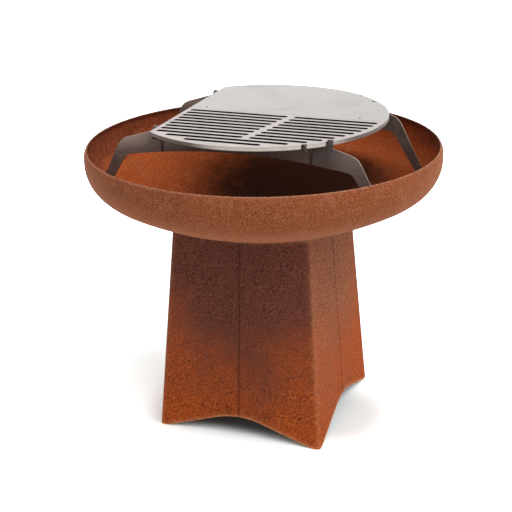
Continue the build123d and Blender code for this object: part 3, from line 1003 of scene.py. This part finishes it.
def stand_finish(name, axis, colours, wear):
    """Dark mill scale of the stand's sheet, darker over the fire with soot and a painted shadow of the
    plates;
    the axis is square to the sheet.

    Cut edges carry a painted highlight where they face up and painted shade where they face aside or down.
    The left end has a painted highlight at its top, and heat darkens the legs.
    """
    material, tools, shader, place = new_material(name)
    vector = place["Object"]
    axes = tools.axes(vector)
    outward = tools.axes(place["Normal"])
    scale = tools.group(
        group("Rolled steel", rolled_group),
        vector=vector,
        main=colours.stand_scale,
        shade=colours.stand_shade,
        smudges=9.0,
        streaks=0.3,
        flecks=0.4,
        gloss=0.42,
    )
    cut = tools.group(
        group("Cut edge", cut_group),
        vector=vector,
        normal=place["Normal"],
        axis=axis,
        burn=0.45,
    )
    # Painted light on cut edges: a painted highlight where they face up, painted shade where they face aside
    # or down
    edge = tools.mix(cut["Burn"], colours.stand_edge_highlight, colours.stand_scale)
    edge = tools.mix(tools.span(outward["Z"], 0.05, 0.5), colours.soot_and_shade, edge)
    tone = tools.mix(cut["Mask"], scale["Color"], edge)
    # Darker in the middle: soot over the fire and painted shadow of the cooking plates
    middle = tools.span(tools.reach(vector), *wear.stand_soot_and_shadow, 0.75, 0.0)
    tone = tools.mix(middle, tone, colours.soot_and_shade)
    # Painted highlight at the top of the stand's left end
    left_end = tools.span(axes["X"], *wear.highlight_end, 0.5, 0.0)
    pale = tools.product(left_end, tools.span(axes["Z"], *wear.highlight_top))
    tone = tools.mix(pale, tone, colours.stand_edge_highlight)
    heat = tools.span(axes["Z"], *wear.heat, 0.45, 0.0)
    tools.feed(shader.inputs["Base Color"], tools.mix(heat, tone, colours.stand_shade))
    tools.feed(shader.inputs["Roughness"], scale["Roughness"])
    shader.inputs["Metallic"].default_value = 0.15
    relief(tools, shader, scale["Height"], 0.2, wear.scale_grain)
    return material


def fastener_finish(colours, wear):
    """Zinc of the seam bolts, washers and nuts, dulled in patches."""
    material, tools, shader, place = new_material("fastener_zinc")
    zinc = tools.group(
        group("Rolled steel", rolled_group),
        vector=place["Object"],
        main=colours.fastener_zinc,
        shade=colours.fastener_dull,
        smudges=90.0,
        streaks=0.1,
        flecks=0.5,
        gloss=0.3,
    )
    tools.feed(shader.inputs["Base Color"], zinc["Color"])
    tools.feed(shader.inputs["Roughness"], zinc["Roughness"])
    shader.inputs["Metallic"].default_value = 0.9
    relief(tools, shader, zinc["Height"], 0.15, wear.steel_grain)
    return material


# Operators, one for each piece or group of like pieces


class GRILL_OT_bowl(bpy.types.Operator):
    """Draws the dished fire bowl with its turned rim and rusts it"""

    bl_idname = "grill.bowl"
    bl_label = "Fire bowl"

    def execute(self, context):
        wear = context.scene.grill_wear
        section, marks = bowl_section(context.scene.grill_sizes, wear)
        points = turned(section, BOWL_TURN_STEPS)
        faces = grid_faces(BOWL_TURN_STEPS, len(section), close_rows=True, close_columns=True)
        spread = {name: np.tile(values, BOWL_TURN_STEPS) for name, values in marks.items()}
        material = bowl_finish(context.scene.grill_colours, wear)
        make_piece("rusted_bowl", points, faces, "fire_bowl", material, spread)
        return {"FINISHED"}


class GRILL_OT_panels(bpy.types.Operator):
    """Draws the four bent corner panels of the pedestal and rusts them"""

    bl_idname = "grill.panels"
    bl_label = "Pedestal panels"

    def execute(self, context):
        sizes = context.scene.grill_sizes
        wear = context.scene.grill_wear
        points, faces, marks = bent_panel(sizes, wear)
        material = panel_finish(context.scene.grill_colours, wear)
        for quarter, node in enumerate(PANELS):
            turn = np.array(Matrix.Rotation(quarter * pi / 2, 3, "Z"))
            piece = make_piece("rusted_" + node, points @ turn.T, faces, node, material, marks)
            edges = piece.modifiers.new("rounded edges", "BEVEL")
            edges.width = sizes.panel_rounding
            edges.segments = BEVEL_STEPS
            edges.limit_method = "ANGLE"
            edges.angle_limit = BEVEL_ANGLE
        return {"FINISHED"}


class GRILL_OT_griddle(bpy.types.Operator):
    """Gives the closed half of the cooking plate its rolled steel"""

    bl_idname = "grill.griddle"
    bl_label = "Griddle plate"

    def execute(self, context):
        scene = context.scene
        grey = scene.grill_colours.griddle_grey
        shade = scene.grill_colours.griddle_shade
        dress("griddle_plate", plate_finish("griddle_steel", grey, shade, 5.0, scene, slotted=False))
        return {"FINISHED"}


class GRILL_OT_grate(bpy.types.Operator):
    """Gives the slotted half of the cooking plate its rolled steel"""

    bl_idname = "grill.grate"
    bl_label = "Slotted grate"

    def execute(self, context):
        scene = context.scene
        grey = scene.grill_colours.grate_grey
        shade = scene.grill_colours.grate_shade
        dress("slotted_grate", plate_finish("grate_steel", grey, shade, 8.0, scene, slotted=True))
        return {"FINISHED"}


class GRILL_OT_stand(bpy.types.Operator):
    """Gives the lapped beams and rails of the stand their mill scale"""

    bl_idname = "grill.stand"
    bl_label = "Stand"

    def execute(self, context):
        colours = context.scene.grill_colours
        wear = context.scene.grill_wear
        sheets = (("beam_scale", (0.0, 1.0, 0.0), BEAMS), ("rail_scale", (1.0, 0.0, 0.0), RAILS))
        for name, axis, nodes in sheets:
            scale = stand_finish(name, axis, colours, wear)
            for node in nodes:
                dress(node, scale)
        return {"FINISHED"}


class GRILL_OT_fasteners(bpy.types.Operator):
    """Gives the bolts, washers and nuts behind the seams their zinc"""

    bl_idname = "grill.fasteners"
    bl_label = "Seam fasteners"

    def execute(self, context):
        zinc = fastener_finish(context.scene.grill_colours, context.scene.grill_wear)
        for seam in SEAMS:
            for kind in FASTENERS:
                dress(f"{seam}_{kind}", zinc)
        return {"FINISHED"}


class GRILL_OT_stage(bpy.types.Operator):
    """Sets the pale floor, the soft light and the camera"""

    bl_idname = "grill.stage"
    bl_label = "Stage"

    def execute(self, context):
        stage = context.scene.grill_stage
        context.scene.view_settings.view_transform = "Standard"
        self.lay_floor(context, stage)
        self.light(context, stage)
        self.place_camera(context, stage)
        return {"FINISHED"}

    def seen_rays(self, tools):
        """One for the rays of the camera and for those that metal or glass reflect or pass on."""
        path = tools.add("ShaderNodeLightPath").outputs
        seen = tools.math("ADD", path["Is Camera Ray"], path["Is Glossy Ray"], clamp=True)
        return tools.math("ADD", seen, path["Is Transmission Ray"], clamp=True)

    def lay_floor(self, context, stage):
        """A flat sheet that keeps the shadow of the object.

        The camera sees it darker under the pedestal and brighter outside, with a soft shade on the right.
        """
        half = stage.floor_size / 2
        corners = [(-half, -half, 0), (half, -half, 0), (half, half, 0), (-half, half, 0)]
        mesh = bpy.data.meshes.new("floor")
        mesh.from_pydata(corners, [], [(0, 1, 2, 3)])
        material, tools, principled, place = new_material("floor_white")
        nodes = material.node_tree.nodes
        nodes.remove(principled)
        vector = place["Object"]
        axes = tools.axes(vector)
        across = tools.math("MAXIMUM", *(tools.math("ABSOLUTE", axes[name]) for name in "XY"))
        close = tools.span(across, stage.shade_end, stage.close_start, stage.floor_shade, stage.floor_close)
        more = stage.floor_gain - stage.floor_close
        beyond = tools.span(across, stage.close_start, stage.open_start, 0.0, more)
        from_veil = tools.reach(vector, VEIL_STRETCH, stage.veil_shift)
        veil = tools.span(from_veil, *stage.veil, stage.floor_veil, stage.floor_gain)
        gain = tools.math("MINIMUM", tools.math("ADD", close, beyond), veil)
        gain = tools.span(self.seen_rays(tools), 0.0, 1.0, 1.0, gain)
        white = tools.add("ShaderNodeVectorMath", operation="SCALE")
        white.inputs[0].default_value = stage.floor_white
        tools.feed(white.inputs["Scale"], gain)
        matt = tools.add("ShaderNodeBsdfDiffuse")
        tools.feed(matt.inputs["Color"], white.outputs[0])
        tools.feed(nodes["Material Output"].inputs["Surface"], matt.outputs[0])
        mesh.materials.append(material)
        floor = bpy.data.objects.new("floor", mesh)
        context.scene.collection.objects.link(floor)

    def light(self, context, stage):
        """An even sky, white where the camera or metal sees it, and two broad soft lights."""
        world = bpy.data.worlds.new("studio")
        world.use_nodes = True
        context.scene.world = world
        tools = Tree(world.node_tree)
        sky = world.node_tree.nodes["Background"]
        sky.inputs["Color"].default_value = (1, 1, 1, 1)
        strength = tools.span(self.seen_rays(tools), 0.0, 1.0, stage.sky_light, 1.0)
        tools.feed(sky.inputs["Strength"], strength)
        lamps = (
            ("key", stage.key_light, stage.key_softness, stage.key_from),
            ("side", stage.side_light, stage.side_softness, stage.side_from),
        )
        for name, strength, softness, origin in lamps:
            lamp = bpy.data.lights.new(name, "SUN")
            lamp.energy = strength
            lamp.angle = softness
            light = bpy.data.objects.new(name, lamp)
            light.rotation_euler = Vector(origin).to_track_quat("Z", "Y").to_euler()
            context.scene.collection.objects.link(light)

    def place_camera(self, context, stage):
        """A turn about the vertical, a tilt down from level and a roll about the view."""
        lens = bpy.data.cameras.new("camera")
        lens.lens = stage.lens
        lens.sensor_width = stage.sensor
        camera = bpy.data.objects.new("camera", lens)
        turn = Matrix.Rotation(stage.camera_pan, 4, "Z")
        tilt = Matrix.Rotation(pi / 2 - stage.camera_pitch, 4, "X")
        roll = Matrix.Rotation(stage.camera_roll, 4, "Z")
        camera.matrix_world = Matrix.Translation(stage.camera_place) @ turn @ tilt @ roll
        context.scene.collection.objects.link(camera)
        context.scene.camera = camera


OPERATORS = (
    GRILL_OT_bowl,
    GRILL_OT_panels,
    GRILL_OT_griddle,
    GRILL_OT_grate,
    GRILL_OT_stand,
    GRILL_OT_fasteners,
    GRILL_OT_stage,
)


class GRILL_PT_pieces(bpy.types.Panel):
    """Lists the pieces of the grill and its stage"""

    bl_label = "Grill"
    bl_idname = "GRILL_PT_pieces"
    bl_space_type = "VIEW_3D"
    bl_region_type = "UI"
    bl_category = "Grill"

    def draw(self, context):
        for operator in OPERATORS:
            self.layout.operator(operator.bl_idname)


CLASSES = (GrillSizes, GrillWear, GrillColours, GrillStage, *OPERATORS, GRILL_PT_pieces)


def register():
    for item in CLASSES:
        bpy.utils.register_class(item)
    bpy.types.Scene.grill_sizes = PointerProperty(type=GrillSizes)
    bpy.types.Scene.grill_wear = PointerProperty(type=GrillWear)
    bpy.types.Scene.grill_colours = PointerProperty(type=GrillColours)
    bpy.types.Scene.grill_stage = PointerProperty(type=GrillStage)


def unregister():
    del bpy.types.Scene.grill_stage
    del bpy.types.Scene.grill_colours
    del bpy.types.Scene.grill_wear
    del bpy.types.Scene.grill_sizes
    for item in reversed(CLASSES):
        bpy.utils.unregister_class(item)


def main():
    register()
    bpy.ops.grill.stage()
    bpy.ops.grill.bowl()
    bpy.ops.grill.panels()
    bpy.ops.grill.griddle()
    bpy.ops.grill.grate()
    bpy.ops.grill.stand()
    bpy.ops.grill.fasteners()
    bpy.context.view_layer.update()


if __name__ == "__main__":
    main()
